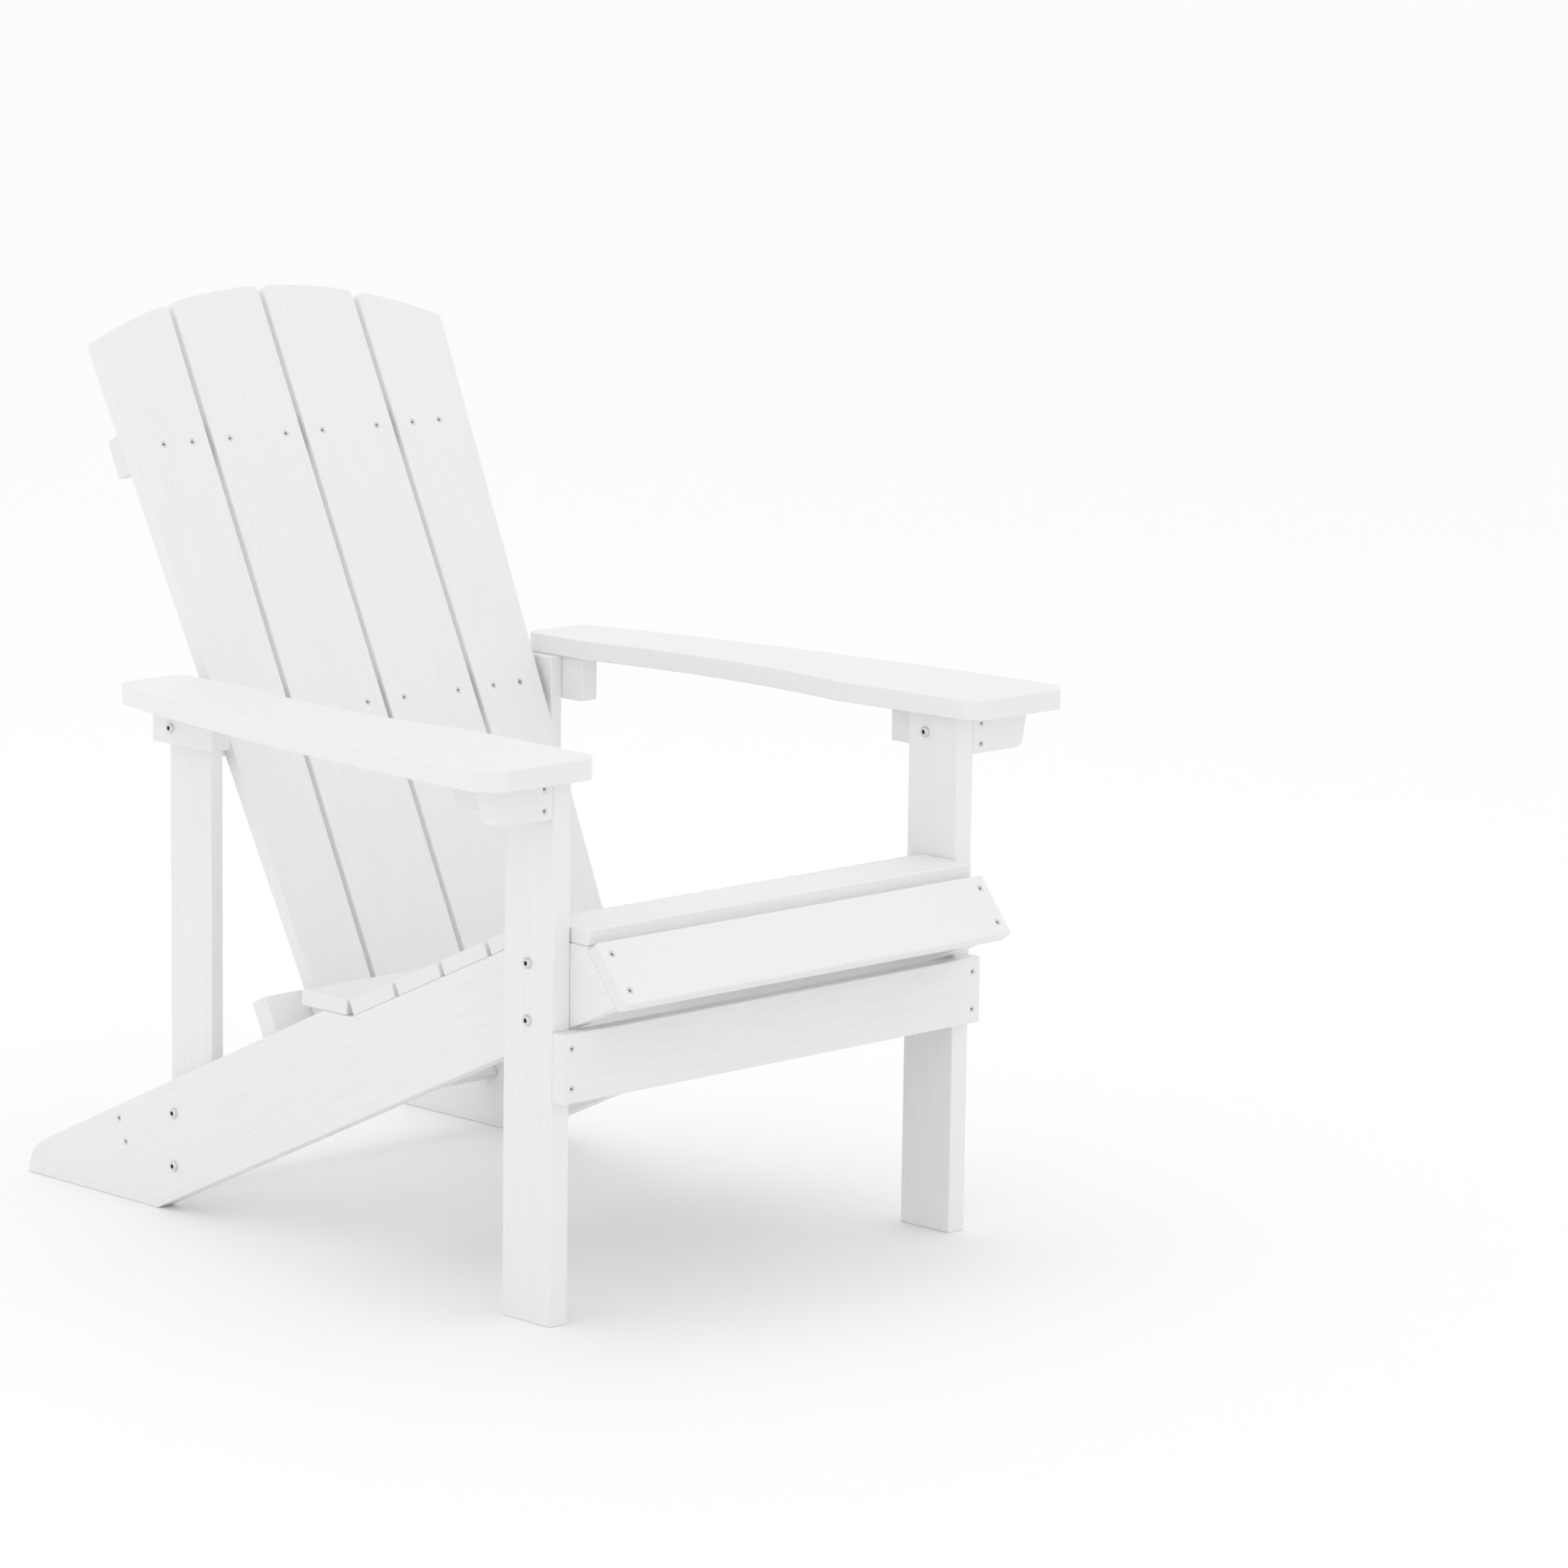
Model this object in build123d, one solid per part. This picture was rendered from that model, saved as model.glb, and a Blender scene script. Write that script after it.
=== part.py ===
from build123d import *
from math import cos, radians, sin, sqrt, tan
import os

# A fixed garden chair of bolted and screwed boards, with a reclined fan-shaped back and broad arms.
# Sizes are in millimetres and angles in degrees. X runs across the chair, Y from front to back, Z up.
# While the pieces are shaped, Y = 0 is the front face of the front legs. "Left" is the side at -X.

# Board stock
frame_thickness = 22
slat_thickness = 15
slat_width = 65
edge_radius = 1.5

# Front legs and armrests
width_over_legs = 550
front_leg_width = 65
arm_underside = 509
arm_thickness = 20
arm_front_overhang = 32
arm_inner_overhang = 10
arm_front_width = 140
arm_rear_width = 80
arm_rear_margin = 12
arm_outer_bulge = 16
arm_waist_y = 150
arm_waist_inset = 8
arm_scoop_end_margin = 90
arm_scoop_depth = 16
arm_outer_clip = 20
arm_inner_clip = 15.5
arm_clip_softening = 6
arm_rear_outer_corner = 20
arm_rear_inner_corner = 12

# Seat
seat_height = 370
seat_rise = 24.5
seat_overhang = 22
sloping_slats = 4
slat_gap = 5.5
rear_knee_gap = 4
rear_flat = 40
seat_side_clearance = 1

# Side rails, which are also the rear feet
rail_rise = 25
rail_width = 110
foot_length = 205
heel_lean = 12
heel_radius = 42
nose_setback = 2
nose_lean = 38.7
apron_gap = 5

# Back
back_recline = 26
back_gap = 53
back_side_gap = 21
back_flare = 31
back_slat_gap = 6
inner_slat_width = 114
back_top_radius = 583
back_corner_radius = 8
top_above_upper_rail = 158
upper_rail_above_middle = 285
upper_rail_height = 40
upper_rail_inset = 4
middle_rail_height = 52
middle_rail_below_arm = 6
cleat_height = 38
cleat_end_inset = 8

# Rear legs and the small blocks under the arms
rear_leg_width = 62
rear_leg_lift = 4
rear_block_length = 91
rear_block_height = 44
block_screw_to_arm_end = 7
arm_cleat_height = 38.5
arm_cleat_length = 90
bracket_thickness = 20
bracket_top_width = 77
bracket_bottom_width = 69
bracket_corner = 9

# Cross boards
front_rail_gap = 1.3
stretcher_height = 38
stretcher_behind_leg = 60
stretcher_below_edge = 24.7

# Fasteners
pilot_clearance = 0.1
bolt_radius = 3
bolt_clearance = 0.25
bolt_head_radius = 5.25
bolt_head_height = 3.2
bolt_dome_radius = 2.5
bolt_socket = 4
bolt_socket_depth = 2
nut_across_flats = 10
nut_height = 5
thread_past_nut = 1.5
leg_bolt_pitch = 53
lag_bite = 28
lag_above_middle = 7
arm_bolt_behind_bracket = 23
screw_radius = 1.75
screw_head_radius = 3.5
screw_tip_length = 4
screw_sink = 0.3
cross_length = 3.8
cross_width = 0.8
cross_depth = 1.3
face_grain_bite = 18
end_grain_bite = 32
screw_inset = 21
outer_slat_screw_inset = 15
apron_screw_pitch = 38
front_rail_screw_pitch = 37
bracket_screw_pitch = 20
stretcher_screw_pitch = 24.4
arm_screw_bite = 13
arm_screw_end_inset = 12
arm_screw_pitch = 32
cleat_screw_end_inset = 7
seat_pin_radius = 2.5
seat_pin_depth = 9

# Faces across the chair on one side, from the outside inward
leg_outer = width_over_legs / 2
leg_inner = leg_outer - frame_thickness
rail_inner = leg_inner - frame_thickness
rear_leg_inner = rail_inner - slat_thickness
back_bottom_half_width = rear_leg_inner - back_side_gap
back_top_half_width = back_bottom_half_width + back_flare
leg_middle = leg_outer - frame_thickness / 2
rail_middle = leg_inner - frame_thickness / 2
arm_cleat_outer = leg_outer + frame_thickness
arm_cleat_middle = leg_outer + frame_thickness / 2


def tilted(angle):
    """Unit vectors (Y, Z) up a line that leans back by angle, and square to it on its rear side."""
    up = Vector(sin(radians(angle)), cos(radians(angle)))
    return up, Vector(up.Y, -up.X)


# In this file a Vector holds a place or direction seen from the side, as (Y, Z), with Y first.

# Seat line from the side: flat front, slope down to the rear, short flat at the rear
seat_underside = seat_height - slat_thickness
seat_up, seat_down = tilted(seat_rise)
front_knee = Vector(slat_width - seat_overhang + slat_gap / 2, seat_underside)
rear_knee = front_knee + seat_down * (sloping_slats * (slat_width + slat_gap))
rear_slat_front = (rear_knee - seat_down * slat_gap / 2 + seat_up * slat_thickness).X + rear_knee_gap
rear_slat_back = rear_slat_front + slat_width
flat_end = rear_knee + Vector(rear_flat, 0)
rear_pin_y = (rear_slat_front + flat_end.X) / 2

# Side rail edges
rail_up, rail_down = tilted(rail_rise)
rail_slope = tan(radians(rail_rise))


def rail_high(y):
    return flat_end.Y - (y - flat_end.X) * rail_slope


def rail_low(y):
    return rail_high(y) - rail_width / rail_up.Y


foot_front = flat_end.X + (flat_end.Y - rail_width / rail_up.Y) / rail_slope
foot_rear = foot_front + foot_length
heel_slope = tan(radians(heel_lean))
heel_z = rail_high(foot_rear) / (1 - heel_slope * rail_slope)
heel = Vector(foot_rear - heel_z * heel_slope, heel_z)
nose_down = -tilted(nose_lean)[0]
nose_out = -tilted(nose_lean)[1]
nose_top = Vector(nose_setback - seat_overhang, seat_underside)
nose_length = (nose_top.Y - rail_low(nose_top.X)) / (-nose_down.Y - nose_down.X * rail_slope)
nose_tip = nose_top + nose_down * nose_length
front_rail_underside = rail_low(0) - front_rail_gap - slat_width

# Back: "along" runs up the slats, and "behind" is square to them. Both start at back_foot, where the
# plane of the slats' front faces meets the floor.
along, behind = tilted(back_recline)
back_slope = tan(radians(back_recline))
back_foot = Vector(rear_slat_back + back_gap - (rear_knee.Y + slat_thickness) * back_slope, 0)


def on_back(up, depth):
    """The point (Y, Z) that is up along the slats and depth behind their front faces."""
    return back_foot + along * up + behind * depth


middle_rail_top = (arm_underside - middle_rail_below_arm + slat_thickness * along.X) / along.Y
middle_rail_up = middle_rail_top - middle_rail_height / 2
upper_rail_up = middle_rail_up + upper_rail_above_middle
back_top = upper_rail_up + top_above_upper_rail
slat_back = on_back(0, slat_thickness)
cleat_foot_y = (rail_high(0) - slat_back.Y + slat_back.X / back_slope) / (1 / back_slope + rail_slope)
cleat_foot = Vector(cleat_foot_y, rail_high(cleat_foot_y))
cleat_up = (cleat_foot - back_foot).dot(along)
corner_drop = back_top_radius - sqrt(back_top_radius**2 - back_top_half_width**2)
back_corner = back_top - corner_drop


def back_half_width(up):
    """Half the back's width, which grows evenly from the cleat to the top corners."""
    share = (up - cleat_up) / (back_corner - cleat_up)
    return back_bottom_half_width + share * (back_top_half_width - back_bottom_half_width)


# Rear legs stand where the middle rail meets them
rear_leg_middle = on_back(middle_rail_up, slat_thickness + frame_thickness / 2).X
rear_leg_front = rear_leg_middle - rear_leg_width / 2
rear_leg_back = rear_leg_middle + rear_leg_width / 2
rear_leg_foot = rail_low(rear_leg_front) + rear_leg_lift
rear_block_back = rear_leg_back
rear_block_front = rear_block_back - rear_block_length
rear_block_underside = arm_underside - rear_block_height
arm_back = rear_leg_back - arm_rear_margin
arm_cleat_back = bracket_thickness + arm_cleat_length
arm_cleat_underside = arm_underside - arm_cleat_height
arm_cleat_z = arm_underside - arm_cleat_height / 2
arm_bolt_y = bracket_thickness + arm_bolt_behind_bracket
stretcher_y = rear_leg_back + stretcher_behind_leg
stretcher_at = Vector(stretcher_y, rail_high(stretcher_y)) - rail_up * stretcher_below_edge


def rounded(solid):
    return fillet(solid.edges(), edge_radius)


def profile(points, x_from, x_to):
    """A board whose outline is seen from the side, as (Y, Z) points, between two places across."""
    outline = make_face(Polyline(*[(p.X, p.Y) for p in points], close=True))
    return extrude(Plane.YZ.offset(x_from) * outline, amount=x_to - x_from)


def block(x_from, x_to, y_from, y_to, z_from, z_to):
    size = (x_to - x_from, y_to - y_from, z_to - z_from)
    middle = ((x_from + x_to) / 2, (y_from + y_to) / 2, (z_from + z_to) / 2)
    return Pos(*middle) * Box(*size)


def strip(corner, direction, square, width, thickness):
    """Four corners (Y, Z) of a board's section."""
    return [corner, corner + direction * width, corner + direction * width + square * thickness,
            corner + square * thickness]


def side_rail():
    points = [Vector(foot_rear, 0), heel, flat_end, rear_knee, front_knee, nose_top, nose_tip,
              Vector(foot_front, 0)]
    outline = make_face(Polyline(*[(p.X, p.Y) for p in points], close=True))
    corner = outline.vertices().sort_by_distance(Vector(heel.X, heel.Y))[0]
    outline = fillet(corner, heel_radius)
    return rounded(extrude(Plane.YZ.offset(rail_inner) * outline, amount=frame_thickness))


def front_leg():
    return rounded(block(leg_inner, leg_outer, 0, front_leg_width, 0, arm_underside))


def rear_leg():
    return rounded(block(rear_leg_inner, rail_inner, rear_leg_front, rear_leg_back,
                         rear_leg_foot, arm_underside))


def armrest():
    front_inner = leg_inner - arm_inner_overhang
    waist = (front_inner - arm_waist_inset, arm_waist_y)
    rear_inner = rear_leg_inner + arm_inner_overhang
    scoop_end = (rear_inner, arm_back - arm_scoop_end_margin)
    outer_clip_front = (front_inner + arm_front_width - arm_outer_clip, -arm_front_overhang)
    outer_clip_back = (front_inner + arm_front_width, arm_outer_clip - arm_front_overhang)
    inner_clip_front = (front_inner + arm_inner_clip, -arm_front_overhang)
    inner_clip_back = (front_inner, arm_inner_clip - arm_front_overhang)
    rear_outer = (rear_inner + arm_rear_width, arm_back)
    scoop_middle = ((waist[0] + scoop_end[0]) / 2 + arm_scoop_depth, (waist[1] + scoop_end[1]) / 2)
    bulge = ((outer_clip_back[0] + rear_outer[0]) / 2 + arm_outer_bulge,
             (outer_clip_back[1] + rear_outer[1]) / 2)
    outline = make_face(
        Polyline(scoop_end, (rear_inner, arm_back), rear_outer)
        + ThreePointArc(rear_outer, bulge, outer_clip_back)
        + Polyline(outer_clip_back, outer_clip_front, inner_clip_front, inner_clip_back, waist)
        + ThreePointArc(waist, scoop_middle, scoop_end)
    )
    clip_ends = outline.vertices().sort_by(Axis.Y)[:4]
    outline = fillet(clip_ends, arm_clip_softening)
    outline = fillet(outline.vertices().sort_by_distance(rear_outer)[0], arm_rear_outer_corner)
    outline = fillet(outline.vertices().sort_by_distance((rear_inner, arm_back))[0], arm_rear_inner_corner)
    return rounded(extrude(Pos(0, 0, arm_underside) * outline, amount=arm_thickness))


def arm_cleat():
    return rounded(block(leg_outer, arm_cleat_outer, bracket_thickness, arm_cleat_back,
                         arm_cleat_underside, arm_underside))


def arm_bracket():
    corners = [(leg_outer, arm_underside), (leg_outer + bracket_top_width, arm_underside),
               (leg_outer + bracket_bottom_width, arm_cleat_underside), (leg_outer, arm_cleat_underside)]
    outline = make_face(Polyline(*corners, close=True))
    outline = fillet(outline.vertices().sort_by_distance(corners[2])[0], bracket_corner)
    return rounded(extrude(Plane.XZ * outline, amount=-bracket_thickness))


def arm_block():
    return rounded(block(rail_inner, leg_inner, rear_block_front, rear_block_back,
                         rear_block_underside, arm_underside))


def back_slat(inner, outer_at_foot, outer_at_corner):
    """A back slat on the right side, between two edges across, under the arc over the whole back."""
    def arc(x):
        return back_top - back_top_radius + sqrt(back_top_radius**2 - x**2)

    crown = (inner + outer_at_corner) / 2
    top_inner = (inner, arc(inner))
    top_outer = (outer_at_corner, arc(outer_at_corner))
    outline = make_face(
        Polyline(top_outer, (outer_at_foot, cleat_up), (inner, cleat_up), top_inner)
        + ThreePointArc(top_inner, (crown, arc(crown)), top_outer)
    )
    outline = fillet(outline.vertices().sort_by(Axis.Y)[-2:], back_corner_radius)
    origin = (0, back_foot.X, back_foot.Y)
    plane = Plane(origin=origin, x_dir=(1, 0, 0), z_dir=(0, -behind.X, -behind.Y))
    return rounded(extrude(plane * outline, amount=-slat_thickness))


def back_rail(half_length, up, height):
    section = strip(on_back(up - height / 2, slat_thickness), along, behind, height, frame_thickness)
    return rounded(profile(section, -half_length, half_length))


def lower_back_rail():
    """The cleat that stands on the side rails, with its underside cut to their slope."""
    top = cleat_foot + along * cleat_height
    back = behind * frame_thickness
    lower_back_y = (cleat_foot + back).X
    drop = (rail_high(lower_back_y) - (cleat_foot + back).Y) / (along.Y + along.X * rail_slope)
    section = [cleat_foot, top, top + back, cleat_foot + back + along * drop]
    half_length = leg_inner - cleat_end_inset
    return rounded(profile(section, -half_length, half_length))


def seat_sections():
    """Each seat slat's lower corner nearest the back, and the directions forward and up, from the front."""
    flat_forward, flat_up = Vector(-1, 0), Vector(0, 1)
    sections = [(front_knee - Vector(slat_gap / 2, 0), flat_forward, flat_up)]
    for number in range(sloping_slats):
        down = slat_gap / 2 + slat_width + number * (slat_width + slat_gap)
        sections.append((front_knee + seat_down * down, -seat_down, seat_up))
    sections.append((Vector(rear_slat_back, rear_knee.Y), flat_forward, flat_up))
    return sections


def seat_slat(section):
    corners = strip(*section, slat_width, slat_thickness)
    half_length = leg_inner - seat_side_clearance
    return rounded(profile(corners, -half_length, half_length))


def front_apron():
    corners = strip(nose_top + nose_down * apron_gap, nose_down, nose_out, slat_width, slat_thickness)
    return rounded(profile(corners, -leg_inner, leg_inner))


def lower_front_rail():
    return rounded(block(-leg_outer, leg_outer, -slat_thickness, 0,
                         front_rail_underside, front_rail_underside + slat_width))


def rear_stretcher():
    corner = stretcher_at - rail_up * (stretcher_height / 2) - rail_down * (frame_thickness / 2)
    section = strip(corner, rail_up, rail_down, stretcher_height, frame_thickness)
    return rounded(profile(section, -rail_inner, rail_inner))


def turned(points):
    """A solid of revolution about Z from (radius, height) points."""
    outline = make_face(Polyline(*points, close=True))
    return revolve(Plane.XZ * outline, axis=Axis.Z)


def screw_shape(length, extra):
    """A countersunk screw that points down from its flat head at Z = 0, or with extra the hole for it."""
    neck = screw_radius + extra
    head = screw_head_radius + extra
    return turned([(0, 0), (head, 0), (neck, neck - head), (neck, screw_tip_length - length),
                   (0, -length - extra)])


def screw(length):
    solid = screw_shape(length, 0)
    for turn in (0, 90):
        solid -= Rot(0, 0, turn) * Pos(0, 0, -cross_depth / 2) * Box(cross_length, cross_width, cross_depth)
    return solid


def screw_hole(length):
    mouth = Cylinder(screw_head_radius + pilot_clearance, screw_sink)
    return Pos(0, 0, screw_sink / 2) * mouth + screw_shape(length, pilot_clearance)


def bolt(length):
    """A button-head bolt that points down from its seat at Z = 0."""
    dome = Pos(0, 0, bolt_head_height / 2) * Cylinder(bolt_head_radius, bolt_head_height)
    dome = fillet(dome.edges().filter_by(GeomType.CIRCLE).sort_by(Axis.Z)[-1], bolt_dome_radius)
    shank = Pos(0, 0, -length / 2) * Cylinder(bolt_radius, length)
    socket = extrude(RegularPolygon(bolt_socket / 2, 6, major_radius=False), amount=bolt_socket_depth)
    return dome + shank - Pos(0, 0, bolt_head_height - bolt_socket_depth) * socket


def bolt_hole(length):
    return Pos(0, 0, -length / 2) * Cylinder(bolt_radius + bolt_clearance, length)


def nut():
    """A hexagon nut that stands up from its seat at Z = 0."""
    body = extrude(RegularPolygon(nut_across_flats / 2, 6, major_radius=False), amount=nut_height)
    return body - Pos(0, 0, nut_height / 2) * Cylinder(bolt_radius + pilot_clearance, nut_height)


def pin():
    return Cylinder(seat_pin_radius, 2 * seat_pin_depth)


def pin_hole():
    return Cylinder(seat_pin_radius + pilot_clearance, 2 * (seat_pin_depth + pilot_clearance))


def both_sides(places):
    """Each place is a point and an outward direction on the right. Adds its mirror image on the left."""
    mirrored = [((-p[0], p[1], p[2]), (-d[0], d[1], d[2])) for p, d in places]
    return places + mirrored


def set_at(shape, places):
    return [Plane(origin=point, z_dir=outward) * shape for point, outward in places]


def section_point(x, at):
    return (x, at.X, at.Y)


def lowered(places):
    """The same places with the screw heads sunk a little into the face."""
    return [(tuple(Vector(*p) - Vector(*d) * screw_sink), d) for p, d in places]


def row_places(up):
    """Screws through the front of the four back slats, on the right half, at one height on the back."""
    inner = back_slat_gap / 2
    outer = inner + inner_slat_width + back_slat_gap
    across = [inner + screw_inset, inner + inner_slat_width - screw_inset,
              outer + screw_inset, back_bottom_half_width - outer_slat_screw_inset]
    outward = (0, -behind.X, -behind.Y)
    return [(section_point(x, on_back(up, 0)), outward) for x in across]


def pair_along(middle, direction, pitch):
    return [middle + direction * (pitch / 2), middle - direction * (pitch / 2)]


def leg_bolt_places(x, y, rail_top):
    """Two bolts, one above the other, halfway up the side rail where a leg crosses it."""
    middle = Vector(y, (rail_low(y) + rail_top) / 2)
    return [(section_point(x, at), (1, 0, 0)) for at in pair_along(middle, Vector(0, 1), leg_bolt_pitch)]


def seat_pin_places():
    """One hidden pin at each end of each seat slat, square to the slat, half in it and half in the rail."""
    middles = [(corner + forward * (slat_width / 2), up) for corner, forward, up in seat_sections()]
    middles[-1] = (Vector(rear_pin_y, rear_knee.Y), middles[-1][1])
    return [(section_point(rail_middle, middle), (0, up.X, up.Y)) for middle, up in middles]


right_boards = {
    "side_rail": side_rail(),
    "front_leg": front_leg(),
    "rear_leg": rear_leg(),
    "armrest": armrest(),
    "front_arm_cleat": arm_cleat(),
    "front_arm_bracket": arm_bracket(),
    "rear_arm_block": arm_block(),
}
slat_inner = back_slat_gap / 2
slat_outer = slat_inner + inner_slat_width
right_slats = {
    "back_slat_inner": back_slat(slat_inner, slat_outer, slat_outer),
    "back_slat_outer": back_slat(slat_outer + back_slat_gap, back_bottom_half_width, back_top_half_width),
}
boards = {}
for name, solid in {**right_boards, **right_slats}.items():
    boards[name + "_right"] = solid
    boards[name + "_left"] = mirror(solid, about=Plane.YZ)
boards["upper_back_rail"] = back_rail(back_half_width(upper_rail_up) - upper_rail_inset, upper_rail_up,
                                      upper_rail_height)
boards["middle_back_rail"] = back_rail(rear_leg_inner, middle_rail_up, middle_rail_height)
boards["lower_back_rail"] = lower_back_rail()
for number, section in enumerate(seat_sections(), start=1):
    boards[f"seat_slat_{number}"] = seat_slat(section)
boards["front_apron"] = front_apron()
boards["lower_front_rail"] = lower_front_rail()
boards["rear_stretcher"] = rear_stretcher()
fasteners = {}


def fasten(name, shapes, tools, targets):
    """Adds one group of fasteners and cuts their holes in the boards that they go through."""
    fasteners[name] = shapes
    for board in targets:
        for tool in tools:
            if boards[board].bounding_box().overlaps(tool.bounding_box()):
                boards[board] -= tool


def add_screws(name, places, length, targets):
    sunk = lowered(places)
    fasten(name, set_at(screw(length), sunk), set_at(screw_hole(length), sunk), targets)


def add_bolts(name, places, grip, targets):
    """Bolts from one face through a known thickness, each with a nut on the far face."""
    length = grip + nut_height + thread_past_nut
    fasten(name + "_bolts", set_at(bolt(length), places), set_at(bolt_hole(length), places), targets)
    far = [(tuple(Vector(*p) - Vector(*d) * grip), tuple(Vector(*d) * -1)) for p, d in places]
    fasteners[name + "_nuts"] = set_at(nut(), far)


def both(name):
    return [name + "_right", name + "_left"]


front_bolts = leg_bolt_places(leg_outer, front_leg_width / 2, seat_underside)
add_bolts("front_leg", both_sides(front_bolts), 2 * frame_thickness, both("front_leg") + both("side_rail"))

rear_bolts = leg_bolt_places(leg_inner, rear_leg_middle, rail_high(rear_leg_middle))
add_bolts("rear_leg", both_sides(rear_bolts), frame_thickness + slat_thickness,
          both("rear_leg") + both("side_rail"))

cleat_bolts = [((leg_inner, arm_bolt_y, arm_cleat_z), (-1, 0, 0))]
add_bolts("arm_cleat", both_sides(cleat_bolts), 2 * frame_thickness,
          both("front_leg") + both("front_arm_cleat"))

lag_at = on_back(middle_rail_up + lag_above_middle, slat_thickness + frame_thickness / 2)
lags = both_sides([(section_point(leg_inner, lag_at), (1, 0, 0))])
lag_length = frame_thickness + slat_thickness + lag_bite
fasten("arm_block_lag_bolts", set_at(bolt(lag_length), lags), set_at(bolt_hole(lag_length), lags),
       both("rear_arm_block") + both("rear_leg") + ["middle_back_rail"])

slat_rows = []
for up in (cleat_up + cleat_height / 2, middle_rail_up, upper_rail_up):
    slat_rows += row_places(up)
add_screws("back_slat_screws", both_sides(slat_rows), slat_thickness + face_grain_bite,
           both("back_slat_inner") + both("back_slat_outer")
           + ["lower_back_rail", "middle_back_rail", "upper_back_rail"])

apron_middle = nose_top + nose_down * (apron_gap + slat_width / 2) + nose_out * slat_thickness
apron_places = [(section_point(rail_middle, at), (0, nose_out.X, nose_out.Y))
                for at in pair_along(apron_middle, nose_down, apron_screw_pitch)]
add_screws("apron_screws", both_sides(apron_places), slat_thickness + end_grain_bite,
           ["front_apron"] + both("side_rail"))

front_rail_middle = Vector(-slat_thickness, front_rail_underside + slat_width / 2)
front_rail_places = [(section_point(leg_middle, at), (0, -1, 0))
                     for at in pair_along(front_rail_middle, Vector(0, 1), front_rail_screw_pitch)]
add_screws("front_rail_screws", both_sides(front_rail_places), slat_thickness + end_grain_bite,
           ["lower_front_rail"] + both("front_leg"))

bracket_places = [(section_point(arm_cleat_middle, at), (0, -1, 0))
                  for at in pair_along(Vector(0, arm_cleat_z), Vector(0, 1), bracket_screw_pitch)]
add_screws("arm_bracket_screws", both_sides(bracket_places), bracket_thickness + face_grain_bite,
           both("front_arm_bracket") + both("front_arm_cleat"))

stretcher_places = [(section_point(leg_inner, at), (1, 0, 0))
                    for at in pair_along(stretcher_at, rail_up, stretcher_screw_pitch)]
add_screws("stretcher_screws", both_sides(stretcher_places), frame_thickness + end_grain_bite,
           both("side_rail") + ["rear_stretcher"])

cleat_screw_x = leg_inner - cleat_end_inset - cleat_screw_end_inset
cleat_screw_at = cleat_foot + along * cleat_height + behind * (frame_thickness / 2)
cleat_places = [((cleat_screw_x, cleat_screw_at.X, cleat_screw_at.Y), (0, along.X, along.Y))]
add_screws("back_foot_screws", both_sides(cleat_places), cleat_height + face_grain_bite,
           ["lower_back_rail"] + both("side_rail"))

last_screw_y = arm_cleat_back - arm_screw_end_inset
arm_cleat_places = [((arm_cleat_middle, y, arm_cleat_underside), (0, 0, -1))
                    for y in (last_screw_y, last_screw_y - arm_screw_pitch)]
arm_block_places = [((rail_middle, y, rear_block_underside), (0, 0, -1))
                    for y in (rear_block_front + arm_screw_end_inset, arm_back - block_screw_to_arm_end)]
add_screws("arm_cleat_screws", both_sides(arm_cleat_places), arm_cleat_height + arm_screw_bite,
           both("front_arm_cleat") + both("armrest"))
add_screws("arm_block_screws", both_sides(arm_block_places), rear_block_height + arm_screw_bite,
           both("rear_arm_block") + both("armrest"))

pins = both_sides(seat_pin_places())
seat_slats = [f"seat_slat_{number}" for number in range(1, sloping_slats + 3)]
fasten("seat_pins", set_at(pin(), pins), set_at(pin_hole(), pins), seat_slats + both("side_rail"))

# The finished chair stands with its origin on the floor, midway between its front and its back
front_most = min(solid.bounding_box().min.Y for solid in boards.values())
rear_most = max(solid.bounding_box().max.Y for solid in boards.values())
shift = Pos(0, -(front_most + rear_most) / 2, 0)

os.makedirs("parts", exist_ok=True)
for name, solid in boards.items():
    export_step(shift * solid, f"parts/{name}.step")
for name, solids in fasteners.items():
    export_step(shift * Compound(children=solids), f"parts/{name}.step")
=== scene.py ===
from math import cos, pi, radians, sin

import bmesh
import bpy
from mathutils import Matrix, Vector


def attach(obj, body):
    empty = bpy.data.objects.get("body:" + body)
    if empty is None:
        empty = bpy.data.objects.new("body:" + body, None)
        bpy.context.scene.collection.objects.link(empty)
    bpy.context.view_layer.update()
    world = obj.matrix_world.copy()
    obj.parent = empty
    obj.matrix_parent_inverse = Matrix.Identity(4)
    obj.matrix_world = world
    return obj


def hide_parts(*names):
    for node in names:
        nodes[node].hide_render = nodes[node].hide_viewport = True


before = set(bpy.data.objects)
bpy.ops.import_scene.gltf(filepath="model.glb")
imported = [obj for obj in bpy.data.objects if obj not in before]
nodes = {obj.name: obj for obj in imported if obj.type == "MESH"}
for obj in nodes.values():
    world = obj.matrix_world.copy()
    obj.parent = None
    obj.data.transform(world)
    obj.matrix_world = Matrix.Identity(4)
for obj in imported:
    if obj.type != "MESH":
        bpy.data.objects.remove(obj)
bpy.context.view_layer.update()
scene = bpy.context.scene
mm = 0.001
mergeMm = 0.001      # points nearer than this become one
waveTurn = 20   # radians that a wave texture of scale 1 runs through in a metre
print("frame loaded:", len(nodes), "CAD nodes")


def linearColour(hexText):
    # sRGB hex to the linear colour that the shaders take
    parts = [int(hexText[i:i + 2], 16) / 255 for i in (1, 3, 5)]
    return [p / 12.92 if p <= 0.04045 else ((p + 0.055) / 1.055) ** 2.4 for p in parts] + [1.0]


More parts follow.
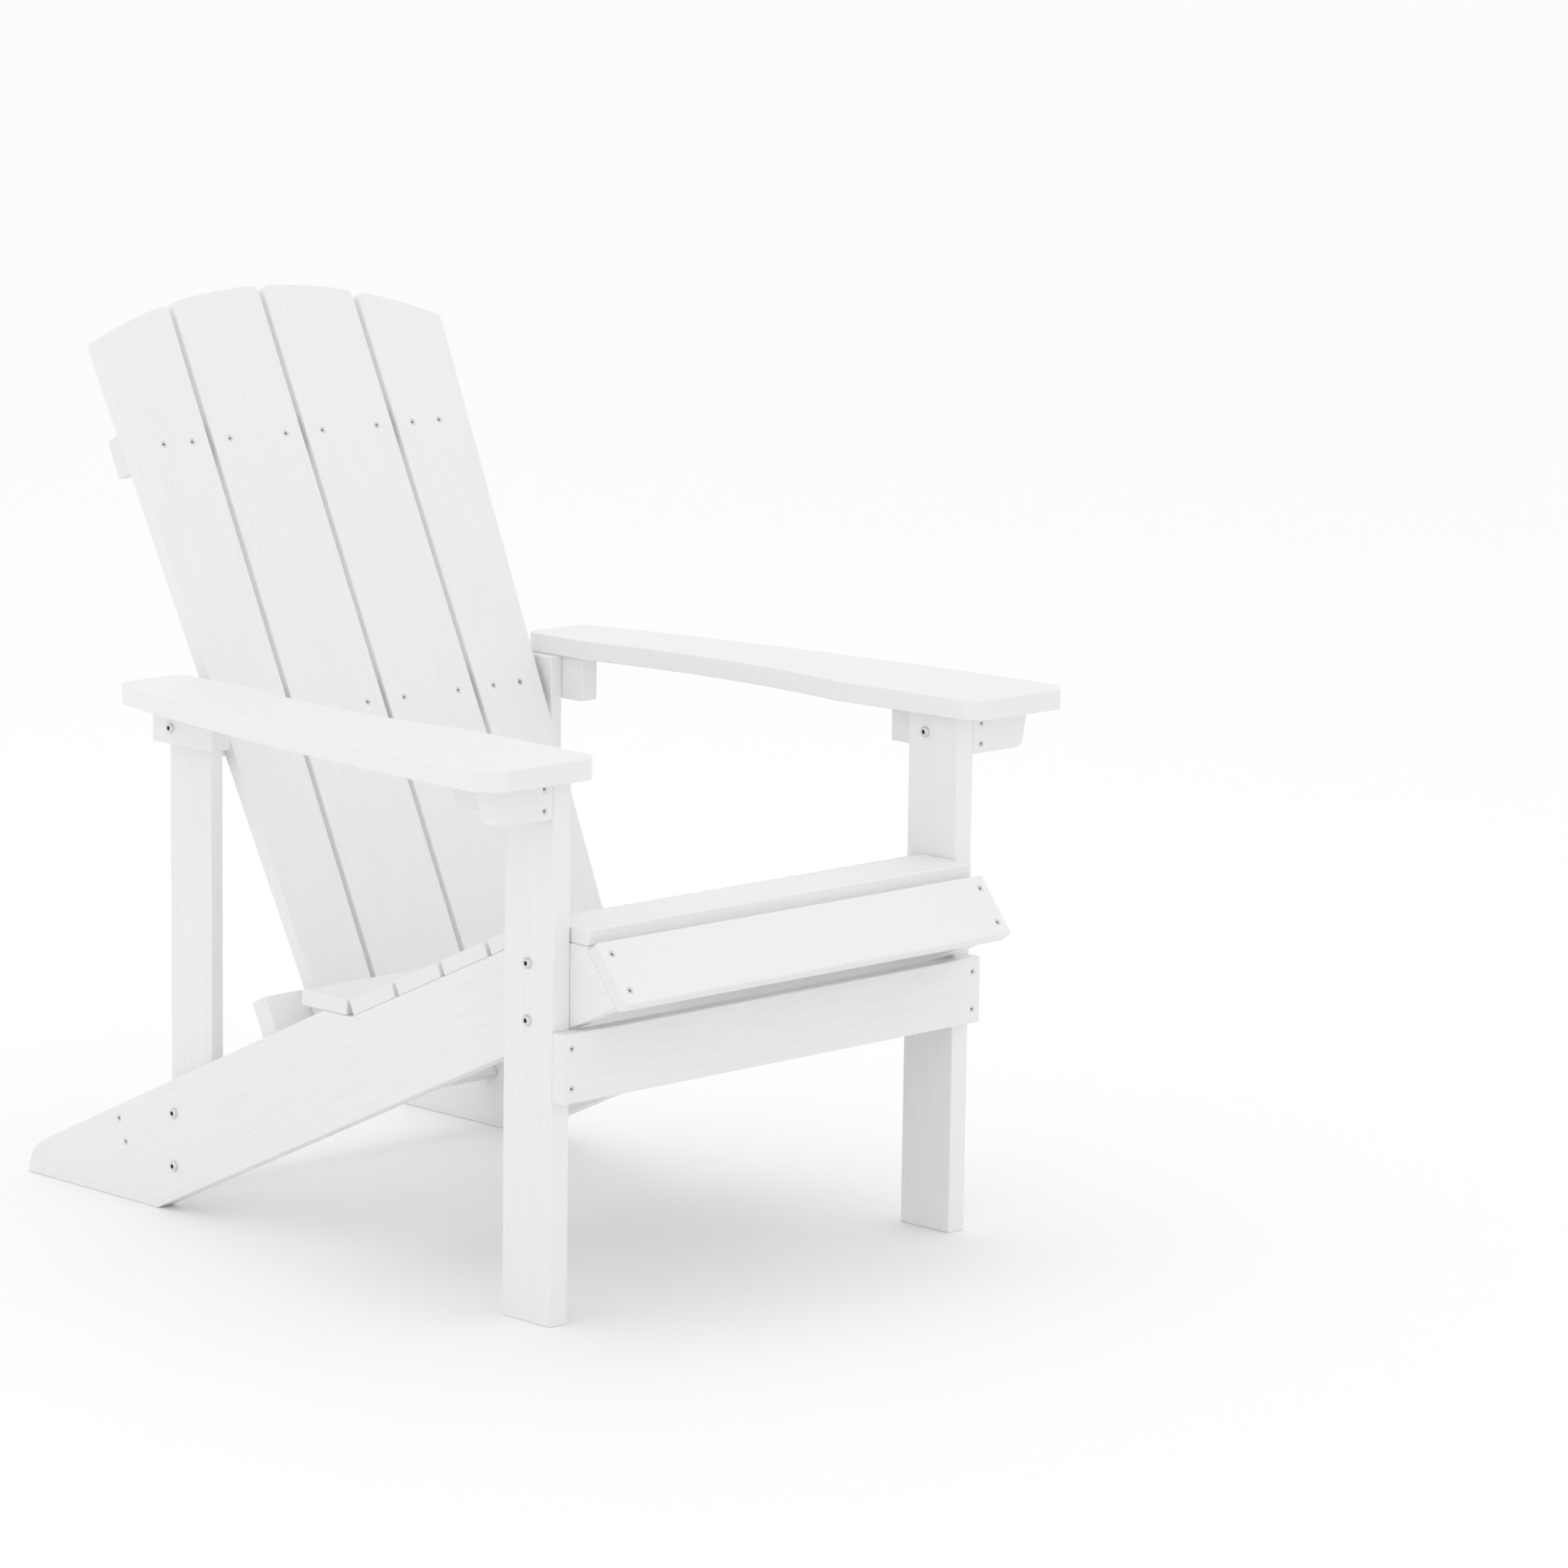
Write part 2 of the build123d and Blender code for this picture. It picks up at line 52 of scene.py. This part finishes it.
def addNode(tree, kind, settings, links=()):
    # settings go to sockets by name or number, or else to the node's own options
    node = tree.nodes.new(kind)
    for name, value in settings.items():
        if not isinstance(name, int) and hasattr(node, name):
            setattr(node, name, value)
        else:
            node.inputs[name].default_value = value
    for name, source in dict(links).items():
        tree.links.new(source, node.inputs[name])
    return node


def newMaterial(name):
    material = bpy.data.materials.new(name)
    material.use_nodes = True
    material.node_tree.nodes.clear()
    return material, material.node_tree


# Camera

cameraView = {
    "lensMm": 136.2,
    "sensorMm": 36.0,
    "place": (-3.8425, -4.2074, 1.4103),   # metres: in front of the chair, to its left, at chest height
    "turnDegrees": -45.104,
    "downDegrees": 9.785,
    "rollDegrees": 0.802,
}


def addCamera(view):
    data = bpy.data.cameras.new("camera")
    data.lens = view["lensMm"]
    data.sensor_width = view["sensorMm"]
    data.dof.use_dof = False
    camera = bpy.data.objects.new("camera", data)
    scene.collection.objects.link(camera)
    turn = Matrix.Rotation(radians(view["turnDegrees"]), 4, "Z")
    tilt = Matrix.Rotation(radians(90 - view["downDegrees"]), 4, "X")
    roll = Matrix.Rotation(radians(view["rollDegrees"]), 4, "Z")
    camera.matrix_world = Matrix.Translation(view["place"]) @ turn @ tilt @ roll
    scene.camera = camera


addCamera(cameraView)
print("camera placed")


# White embossed boards

boardLook = {
    "colour": "#EDEDED",
    # painted shade in the embossed grooves
    "grooveColour": "#E9E9E9",
    "sawnColour": "#EAEAEA",
    "roughness": 0.46,
    "grooveRoughness": 0.56,
    "streakLengthMm": 80,
    "streakWidthMm": 1.7,      # the real brush lines are about 1 mm, drawn coarser so that they show
    "bandLengthMm": 220,
    "bandWidthMm": 7,
    "patchMm": 150,
    "faintestBite": 0.7,       # share of the full depth
    "reliefMm": 0.075,
    "sawLineMm": 10.05,        # real saw marks are about 2 mm apart, drawn coarser so that they show
    "sawReliefMm": 0.05,
    "speckMm": 0.9,
}

# How far each sloping board leans, the rails from the floor and the others from upright
railSlope = radians(25)
backLean = radians(26)
apronLean = radians(38.7)

grainDirections = {
    "upright": (0, 0, 1),
    "lengthways": (0, 1, 0),
    "lengthwaysBlock": (0, 1, 0),   # short blocks, embossed on all four sides
    "crossways": (1, 0, 0),
    "railSlope": (0, cos(railSlope), -sin(railSlope)),
    "backSlope": (0, sin(backLean), cos(backLean)),
}

# The roller only reaches the two broad faces of these boards, and their narrow edges are smooth
broadFaces = {
    "upright": (1, 0, 0),
    "lengthways": (0, 0, 1),
    "railSlope": (1, 0, 0),
    "backSlope": (0, -cos(backLean), sin(backLean)),
}


def boardMaterial(direction, look):
    # Foamed polyethylene plank, extruded white right through and embossed by a roller with fine brushed
    # grain along its length: matt and slightly waxy, with smooth routed edges and plain sawn ends
    material, tree = newMaterial("embossed white polyethylene, " + direction)
    turn = Vector(grainDirections[direction]).to_track_quat("X", "Z").to_euler()
    place = addNode(tree, "ShaderNodeTexCoord", {})
    side = addNode(tree, "ShaderNodeMapping", {"vector_type": "TEXTURE", "Rotation": turn},
                   {"Vector": place.outputs["Normal"]})
    sides = addNode(tree, "ShaderNodeSeparateXYZ", {}, {"Vector": side.outputs["Vector"]})
    facing = [addNode(tree, "ShaderNodeMath", {"operation": "ABSOLUTE"}, {0: sides.outputs[axis]})
              for axis in "XYZ"]
    if direction in broadFaces:
        squareOn = addNode(tree, "ShaderNodeVectorMath",
                           {"operation": "DOT_PRODUCT", 1: broadFaces[direction]},
                           {0: place.outputs["Normal"]})
        widest = addNode(tree, "ShaderNodeMath", {"operation": "ABSOLUTE"}, {0: squareOn.outputs["Value"]})
    else:
        widest = addNode(tree, "ShaderNodeMath", {"operation": "MAXIMUM"},
                         {0: facing[1].outputs[0], 1: facing[2].outputs[0]})
    # The rounded edges fade out both patterns
    flatOnly = {"interpolation_type": "SMOOTHSTEP", "From Min": 0.9, "From Max": 0.995}
    flatFace = addNode(tree, "ShaderNodeMapRange", flatOnly, {"Value": widest.outputs[0]})
    sawnEnd = addNode(tree, "ShaderNodeMapRange", flatOnly, {"Value": facing[0].outputs[0]})

    # Long thin noise, stretched along the grain, for the embossed lines
    width = look["streakWidthMm"] * mm
    lines = addNode(tree, "ShaderNodeMapping",
                    {"vector_type": "TEXTURE", "Rotation": turn,
                     "Scale": (look["streakLengthMm"] * mm, width, width)},
                    {"Vector": place.outputs["Object"]})
    lineNoise = addNode(tree, "ShaderNodeTexNoise",
                        {"Scale": 1.0, "Detail": 3.0, "Roughness": 0.55, "Distortion": 0.25},
                        {"Vector": lines.outputs["Vector"]})
    grooves = addNode(tree, "ShaderNodeMapRange",
                      {"interpolation_type": "SMOOTHSTEP", "From Min": 0.36, "From Max": 0.56},
                      {"Value": lineNoise.outputs["Fac"]})
    band = look["bandWidthMm"] * mm
    bands = addNode(tree, "ShaderNodeMapping",
                    {"vector_type": "TEXTURE", "Rotation": turn,
                     "Scale": (look["bandLengthMm"] * mm, band, band)},
                    {"Vector": place.outputs["Object"]})
    bandNoise = addNode(tree, "ShaderNodeTexNoise",
                        {"Scale": 1.0, "Detail": 2.0, "Roughness": 0.5, "Distortion": 0.6},
                        {"Vector": bands.outputs["Vector"]})
    # The roller bites deeper in some patches than in others
    patchNoise = addNode(tree, "ShaderNodeTexNoise",
                         {"Scale": 1000 / look["patchMm"], "Detail": 2.0, "Roughness": 0.5},
                         {"Vector": place.outputs["Object"]})
    patches = addNode(tree, "ShaderNodeMapRange",
                      {"From Min": 0.3, "From Max": 0.7, "To Min": look["faintestBite"], "To Max": 1.0},
                      {"Value": patchNoise.outputs["Fac"]})
    bite = addNode(tree, "ShaderNodeMath", {"operation": "MULTIPLY"},
                   {0: patches.outputs[0], 1: flatFace.outputs[0]})
    shaped = addNode(tree, "ShaderNodeMath", {"operation": "MULTIPLY_ADD", 1: 0.5},
                     {0: bandNoise.outputs["Fac"], 2: grooves.outputs[0]})
    relief = addNode(tree, "ShaderNodeMath", {"operation": "MULTIPLY"},
                     {0: shaped.outputs[0], 1: bite.outputs[0]})
    embossed = addNode(tree, "ShaderNodeBump", {"Strength": 1.0, "Distance": look["reliefMm"] * mm},
                       {"Height": relief.outputs[0]})

    # Saw marks and open foam cells on the cut ends
    saw = addNode(tree, "ShaderNodeTexWave",
                  {"wave_type": "RINGS", "rings_direction": "SPHERICAL",
                   "Scale": 2 * pi / waveTurn * 1000 / look["sawLineMm"],
                   "Distortion": 3.0, "Detail": 2.0, "Detail Scale": 2.0},
                  {"Vector": place.outputs["Object"]})
    cells = addNode(tree, "ShaderNodeTexNoise", {"Scale": 1000 / look["speckMm"], "Detail": 2.0},
                    {"Vector": place.outputs["Object"]})
    endHeight = addNode(tree, "ShaderNodeMath", {"operation": "ADD"},
                        {0: saw.outputs["Fac"], 1: cells.outputs["Fac"]})
    endRelief = addNode(tree, "ShaderNodeMath", {"operation": "MULTIPLY"},
                        {0: endHeight.outputs[0], 1: sawnEnd.outputs[0]})
    bumped = addNode(tree, "ShaderNodeBump", {"Strength": 1.0, "Distance": look["sawReliefMm"] * mm},
                     {"Height": endRelief.outputs[0], "Normal": embossed.outputs["Normal"]})

    # Grooves are rougher than the ridges, and painted a little darker as shade in the hollows
    raised = addNode(tree, "ShaderNodeMapRange", {"From Max": 1.2}, {"Value": shaped.outputs[0]})
    low = addNode(tree, "ShaderNodeMath", {"operation": "SUBTRACT", 0: 1.0, "use_clamp": True},
                  {1: raised.outputs[0]})
    lowBite = addNode(tree, "ShaderNodeMath", {"operation": "MULTIPLY"},
                      {0: low.outputs[0], 1: bite.outputs[0]})
    face = addNode(tree, "ShaderNodeMix",
                   {"data_type": "RGBA", 6: linearColour(look["colour"]),
                    7: linearColour(look["grooveColour"])},
                   {0: lowBite.outputs[0]})
    colour = addNode(tree, "ShaderNodeMix", {"data_type": "RGBA", 7: linearColour(look["sawnColour"])},
                     {0: sawnEnd.outputs[0], 6: face.outputs[2]})
    roughness = addNode(tree, "ShaderNodeMapRange",
                        {"To Min": look["roughness"], "To Max": look["grooveRoughness"]},
                        {"Value": lowBite.outputs[0]})
    shader = addNode(tree, "ShaderNodeBsdfPrincipled", {"IOR": 1.54, "Metallic": 0.0},
                     {"Base Color": colour.outputs[2], "Roughness": roughness.outputs[0],
                      "Normal": bumped.outputs["Normal"]})
    addNode(tree, "ShaderNodeOutputMaterial", {}, {"Surface": shader.outputs["BSDF"]})
    return material


grainOf = {
    "front_leg": "upright", "rear_leg": "upright",
    "armrest": "lengthways", "front_arm_cleat": "lengthwaysBlock", "rear_arm_block": "lengthwaysBlock",
    "front_arm_bracket": "crossways", "side_rail": "railSlope",
    "back_slat_inner": "backSlope", "back_slat_outer": "backSlope",
    "upper_back_rail": "crossways", "middle_back_rail": "crossways", "lower_back_rail": "crossways",
    "seat_slat": "crossways", "front_apron": "crossways", "lower_front_rail": "crossways",
    "rear_stretcher": "crossways",
}
boardMaterials = {direction: boardMaterial(direction, boardLook) for direction in grainDirections}
for nodeName, node in nodes.items():
    for board, direction in grainOf.items():
        if nodeName.startswith(board):
            node.material_slots[0].material = boardMaterials[direction]
print("boards finished in", len(boardMaterials), "grain directions")


# Stainless fasteners

steelLook = {
    "colour": "#E4E4E2",
    "scuffedColour": "#CFCFCD",
    "roughness": 0.12,
    "scuffedRoughness": 0.3,
    "scuffMm": 1.4,
    "scuffDepthMm": 0.01,
}

# Steel for the driver recesses: its darker colours are painted shade, its higher roughness a duller finish
recessShadeLook = {
    "colour": "#7A7A78",
    "scuffedColour": "#626260",
    "roughness": 0.4,
    "scuffedRoughness": 0.6,
    "scuffMm": 0.8,
    "scuffDepthMm": 0.01,
}


def steelMaterial(name, look):
    # Cold-headed A2 stainless steel, tumbled: bright but not polished, with fine scuffs from the driver
    material, tree = newMaterial(name)
    place = addNode(tree, "ShaderNodeTexCoord", {})
    scuffs = addNode(tree, "ShaderNodeTexNoise",
                     {"Scale": 1000 / look["scuffMm"], "Detail": 4.0, "Roughness": 0.6, "Distortion": 0.8},
                     {"Vector": place.outputs["Object"]})
    worn = addNode(tree, "ShaderNodeMapRange", {"From Min": 0.35, "From Max": 0.7},
                   {"Value": scuffs.outputs["Fac"]})
    colour = addNode(tree, "ShaderNodeMix",
                     {"data_type": "RGBA", 6: linearColour(look["colour"]),
                      7: linearColour(look["scuffedColour"])},
                     {0: worn.outputs[0]})
    roughness = addNode(tree, "ShaderNodeMapRange",
                        {"To Min": look["roughness"], "To Max": look["scuffedRoughness"]},
                        {"Value": worn.outputs[0]})
    bump = addNode(tree, "ShaderNodeBump", {"Strength": 1.0, "Distance": look["scuffDepthMm"] * mm},
                   {"Height": scuffs.outputs["Fac"]})
    shader = addNode(tree, "ShaderNodeBsdfPrincipled", {"Metallic": 1.0},
                     {"Base Color": colour.outputs[2], "Roughness": roughness.outputs[0],
                      "Normal": bump.outputs["Normal"]})
    addNode(tree, "ShaderNodeOutputMaterial", {}, {"Surface": shader.outputs["BSDF"]})
    return material


steel = steelMaterial("tumbled stainless steel", steelLook)
# The driver recesses get a darker, rougher steel: the darker colour is painted shade inside the recesses
recessShadeSteel = steelMaterial("dull stainless steel in the driver recesses", recessShadeLook)

screwSizes = {
    "headRadius": 3.45, "headRim": 0.25, "neckRadius": 1.75, "tipLength": 4.0, "tipRadius": 0.2,
    "segments": 24,
    "crossLength": 3.7, "crossWidth": 0.8, "crossDepth": 1.5, "crossTaper": 0.45,
}

boltSizes = {
    "headRadius": 5.25, "headHeight": 3.2, "headRim": 0.45, "crownRadius": 2.9, "domeSteps": 5,
    "socketAcross": 4.0, "socketDepth": 2.0, "socketChamfer": 0.35, "shankRadius": 3.0, "endChamfer": 0.5,
    "segments": 24,
}

nutSizes = {
    "acrossFlats": 10.0, "height": 5.0, "hexHeight": 3.4, "shoulder": 0.5, "shoulderStep": 0.1,
    "collarRadius": 4.3, "collarRound": 0.7, "collarRoundShare": 0.3, "boreRadius": 3.05, "segments": 24,
}


def ring(shape, radius, height, segments):
    made = bmesh.ops.create_circle(shape, radius=radius, segments=segments)
    bmesh.ops.translate(shape, verts=made["verts"], vec=(0, 0, height))
    return list({edge for vert in made["verts"] for edge in vert.link_edges})


def growRing(shape, edges, profile):
    # Extrudes a ring of edges from (radius, height) to each next one in turn
    radius, height = profile[0]
    for nextRadius, nextHeight in profile[1:]:
        made = bmesh.ops.extrude_edge_only(shape, edges=edges)["geom"]
        verts = [part for part in made if isinstance(part, bmesh.types.BMVert)]
        edges = [part for part in made if isinstance(part, bmesh.types.BMEdge)]
        share = nextRadius / radius
        bmesh.ops.scale(shape, verts=verts, vec=(share, share, 1))
        bmesh.ops.translate(shape, verts=verts, vec=(0, 0, nextHeight - height))
        edges = [edge for edge in edges if all(vert in verts for vert in edge.verts)]
        radius, height = nextRadius, nextHeight
    return edges


def sink(shape, edges, depth, share):
    # Draws a closed outline down to a smaller one and closes the floor
    made = bmesh.ops.extrude_edge_only(shape, edges=edges)["geom"]
    verts = [part for part in made if isinstance(part, bmesh.types.BMVert)]
    floorEdges = [part for part in made if isinstance(part, bmesh.types.BMEdge)
                  and all(vert in verts for vert in part.verts)]
    bmesh.ops.scale(shape, verts=verts, vec=(share, share, 1))
    bmesh.ops.translate(shape, verts=verts, vec=(0, 0, -depth))
    floor = bmesh.ops.contextual_create(shape, geom=floorEdges)["faces"]
    recess = {face for edge in floorEdges for face in edge.link_faces} | set(floor)
    for face in recess:
        face.material_index = 1   # the steel darkened as painted shade


def crossOutline(shape, length, width):
    corners = []
    for quarter in range(4):
        turn = Matrix.Rotation(quarter * pi / 2, 3, "Z")
        for x, y in ((length / 2, -width / 2), (length / 2, width / 2), (width / 2, width / 2)):
            corners.append(shape.verts.new(turn @ Vector((x, y, 0))))
    return [shape.edges.new((corners[i], corners[(i + 1) % len(corners)])) for i in range(len(corners))]


def finishShape(shape, name):
    bmesh.ops.remove_doubles(shape, verts=shape.verts, dist=mergeMm)
    bmesh.ops.recalc_face_normals(shape, faces=shape.faces)
    bmesh.ops.scale(shape, verts=shape.verts, vec=(mm, mm, mm))
    mesh = bpy.data.meshes.new(name)
    shape.to_mesh(mesh)
    shape.free()
    return mesh


def screwMesh(length, sizes):
    # Countersunk screw with a tapered cross recess, head up, its face at Z = 0
    shape = bmesh.new()
    rim = ring(shape, sizes["headRadius"], 0, sizes["segments"])
    cross = crossOutline(shape, sizes["crossLength"], sizes["crossWidth"])
    bmesh.ops.triangle_fill(shape, edges=rim + cross, use_beauty=True)
    sink(shape, cross, sizes["crossDepth"], sizes["crossTaper"])
    neck = sizes["headRadius"] - sizes["neckRadius"] + sizes["headRim"]
    end = growRing(shape, rim, [(sizes["headRadius"], 0), (sizes["headRadius"], -sizes["headRim"]),
                                (sizes["neckRadius"], -neck),
                                (sizes["neckRadius"], sizes["tipLength"] - length),
                                (sizes["tipRadius"], -length)])
    bmesh.ops.contextual_create(shape, geom=end)
    return finishShape(shape, "screw")


def boltMesh(length, sizes):
    # Button-head bolt with a hexagon socket, its seat at Z = 0
    shape = bmesh.new()
    top, crown = sizes["headHeight"], sizes["crownRadius"]
    rim = ring(shape, crown, top, sizes["segments"])
    socketRadius = sizes["socketAcross"] / 2 / cos(pi / 6)
    chamfer = sizes["socketChamfer"]
    mouth = ring(shape, socketRadius + chamfer, top, 6)
    bmesh.ops.triangle_fill(shape, edges=rim + mouth, use_beauty=True)
    wall = growRing(shape, mouth, [(socketRadius + chamfer, top), (socketRadius, top - chamfer)])
    sink(shape, wall, sizes["socketDepth"] - chamfer, 1.0)
    dome = []
    for step in range(sizes["domeSteps"] + 1):
        angle = step / sizes["domeSteps"] * pi / 2
        dome.append((crown + (sizes["headRadius"] - crown) * sin(angle),
                     sizes["headRim"] + (top - sizes["headRim"]) * cos(angle)))
    shank, tip = sizes["shankRadius"], sizes["endChamfer"]
    end = growRing(shape, rim, dome + [(sizes["headRadius"], 0), (shank, 0), (shank, tip - length),
                                       (shank - tip, -length)])
    bmesh.ops.contextual_create(shape, geom=end)
    return finishShape(shape, "bolt")


def nutMesh(sizes):
    # Lock nut: a hexagon with a rounded collar, its seat at Z = 0
    shape = bmesh.new()
    corner = sizes["acrossFlats"] / 2 / cos(pi / 6)
    bore, top, step = sizes["boreRadius"], sizes["height"], sizes["shoulderStep"]
    shoulderRadius = sizes["acrossFlats"] / 2 - step
    shoulderHeight = sizes["hexHeight"] + sizes["shoulder"]
    foot = ring(shape, corner, 0, 6)
    inner = ring(shape, bore, 0, sizes["segments"])
    bmesh.ops.triangle_fill(shape, edges=foot + inner, use_beauty=True)
    hexTop = growRing(shape, foot, [(corner, 0), (corner, sizes["hexHeight"])])
    shoulder = ring(shape, shoulderRadius, shoulderHeight, sizes["segments"])
    bmesh.ops.bridge_loops(shape, edges=hexTop + shoulder)
    collar, soft = sizes["collarRadius"], sizes["collarRound"]
    ease = soft * sizes["collarRoundShare"]
    growRing(shape, shoulder, [(shoulderRadius, shoulderHeight), (collar, shoulderHeight + step),
                               (collar, top - soft), (collar - ease, top - ease),
                               (collar - soft, top), (bore, top), (bore, 0)])
    return finishShape(shape, "nut")


def islands(node):
    # The separate solids of one CAD node, each as a list of points
    shape = bmesh.new()
    shape.from_mesh(node.data)
    bmesh.ops.remove_doubles(shape, verts=shape.verts, dist=mergeMm * mm)
    left = set(shape.verts)
    found = []
    while left:
        stack = [left.pop()]
        points = []
        while stack:
            vert = stack.pop()
            points.append(vert.co.copy())
            for edge in vert.link_edges:
                other = edge.other_vert(vert)
                if other in left:
                    left.remove(other)
                    stack.append(other)
        found.append(points)
    shape.free()
    return sorted(found, key=lambda points: tuple(round(c, 4) for c in points[0]))


def middleOf(points, direction):
    # Middle of the points' spread across a direction, and their range along it
    turn = direction.to_track_quat("Z", "Y").to_matrix()
    flat = [turn.transposed() @ point for point in points]
    low = [min(p[i] for p in flat) for i in range(3)]
    high = [max(p[i] for p in flat) for i in range(3)]
    centre = turn @ Vector(((low[0] + high[0]) / 2, (low[1] + high[1]) / 2, 0))
    return centre, low[2], high[2]


across = Vector((1, 0, 0))
fasteners = {
    "back_slat_screws": ("screw", Vector((0, -cos(backLean), sin(backLean)))),
    "back_foot_screws": ("screw", Vector((0, sin(backLean), cos(backLean)))),
    "apron_screws": ("screw", Vector((0, -cos(apronLean), sin(apronLean)))),
    "front_rail_screws": ("screw", Vector((0, -1, 0))),
    "arm_bracket_screws": ("screw", Vector((0, -1, 0))),
    "arm_cleat_screws": ("screw", Vector((0, 0, -1))),
    "arm_block_screws": ("screw", Vector((0, 0, -1))),
    "stretcher_screws": ("screw", "out"),
    "front_leg_bolts": ("bolt", "out"),
    "rear_leg_bolts": ("bolt", "out"),
    "arm_block_lag_bolts": ("bolt", "out"),
    "arm_cleat_bolts": ("bolt", "in"),
    "front_leg_nuts": ("nut", "in"),
    "rear_leg_nuts": ("nut", "in"),
    "arm_cleat_nuts": ("nut", "out"),
}
turnStep = radians(137.5)   # no two neighbouring screws were driven to the same angle
creaseAngle = radians(28)   # facets that meet at less than this shade as one smooth surface


def fastenerPiece(nodeName, kind, facing):
    shape = bmesh.new()
    for number, points in enumerate(islands(nodes[nodeName])):
        if isinstance(facing, str):
            outward = across if sum(p.x for p in points) > 0 else -across
            outward = outward if facing == "out" else -outward
        else:
            outward = facing.normalized()
        centre, low, high = middleOf(points, outward)
        length = (high - low) / mm
        if kind == "screw":
            mesh, seat, roll = screwMesh(length, screwSizes), high, number * turnStep
        elif kind == "bolt":
            mesh = boltMesh(length - boltSizes["headHeight"], boltSizes)
            seat, roll = high - boltSizes["headHeight"] * mm, number * turnStep
        else:
            mesh, seat, roll = nutMesh(nutSizes), low, number * turnStep
        turn = outward.to_track_quat("Z", "Y").to_matrix().to_4x4()
        mesh.transform(Matrix.Translation(centre + outward * seat) @ turn @ Matrix.Rotation(roll, 4, "Z"))
        shape.from_mesh(mesh)
        bpy.data.meshes.remove(mesh)
    words = nodeName.split("_")
    name = words[0] + "".join(word.capitalize() for word in words[1:])
    data = bpy.data.meshes.new(name)
    shape.to_mesh(data)
    shape.free()
    data.materials.append(steel)
    data.materials.append(recessShadeSteel)
    piece = bpy.data.objects.new(name, data)
    scene.collection.objects.link(piece)
    for polygon in data.polygons:
        polygon.use_smooth = True
    data.set_sharp_from_angle(angle=creaseAngle)
    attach(piece, "root")
    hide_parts(nodeName)


for nodeName, (kind, facing) in fasteners.items():
    fastenerPiece(nodeName, kind, facing)
nodes["seat_pins"].material_slots[0].material = steel
print("fasteners made:", len(fasteners), "groups")


# Floor and studio light

studio = {
    "floorSize": 60.0,
    "floorColour": "#FCFCFC",
    "floorRoughness": 0.7,
    "floorUnevenness": 0.05,
    "skyColour": "#FFFFFF",
    "skyStrength": 1.0,
    "sidePlace": (-4.2, -0.6, 2.2),
    "sideSize": 3.2,
    "sideWatts": 4,
    "topPlace": (0.3, 0.6, 4.2),
    "topSize": 3.0,
    "topWatts": 8,
    "target": (0.0, 0.0, 0.4),
}


def addFloor(look):
    # Pale painted studio floor, rolled on, with a faint unevenness
    shape = bmesh.new()
    bmesh.ops.create_grid(shape, x_segments=8, y_segments=8, size=look["floorSize"] / 2)
    mesh = bpy.data.meshes.new("floor")
    shape.to_mesh(mesh)
    shape.free()
    material, tree = newMaterial("matt white studio paint")
    place = addNode(tree, "ShaderNodeTexCoord", {})
    rolled = addNode(tree, "ShaderNodeTexNoise", {"Scale": 6.0, "Detail": 3.0},
                     {"Vector": place.outputs["Object"]})
    spread = look["floorUnevenness"]
    roughness = addNode(tree, "ShaderNodeMapRange",
                        {"To Min": look["floorRoughness"] - spread,
                         "To Max": look["floorRoughness"] + spread},
                        {"Value": rolled.outputs["Fac"]})
    shader = addNode(tree, "ShaderNodeBsdfPrincipled",
                     {"Base Color": linearColour(look["floorColour"]), "Specular IOR Level": 0.2},
                     {"Roughness": roughness.outputs[0]})
    addNode(tree, "ShaderNodeOutputMaterial", {}, {"Surface": shader.outputs["BSDF"]})
    mesh.materials.append(material)
    floor = bpy.data.objects.new("floor", mesh)
    scene.collection.objects.link(floor)


def addArea(name, place, size, watts, target):
    data = bpy.data.lights.new(name, "AREA")
    data.shape = "DISK"
    data.size = size
    data.energy = watts
    lamp = bpy.data.objects.new(name, data)
    scene.collection.objects.link(lamp)
    lamp.location = place
    lamp.rotation_euler = (Vector(target) - Vector(place)).to_track_quat("-Z", "Y").to_euler()


def addSky(look):
    world = bpy.data.worlds.new("studio sky")
    scene.world = world
    world.use_nodes = True
    tree = world.node_tree
    tree.nodes.clear()
    sky = addNode(tree, "ShaderNodeBackground",
                  {"Color": linearColour(look["skyColour"]), "Strength": look["skyStrength"]})
    addNode(tree, "ShaderNodeOutputWorld", {}, {"Surface": sky.outputs["Background"]})


addFloor(studio)
addArea("side softbox", studio["sidePlace"], studio["sideSize"], studio["sideWatts"], studio["target"])
addArea("top softbox", studio["topPlace"], studio["topSize"], studio["topWatts"], studio["target"])
addSky(studio)
scene.view_settings.view_transform = "Standard"
print("studio lit")
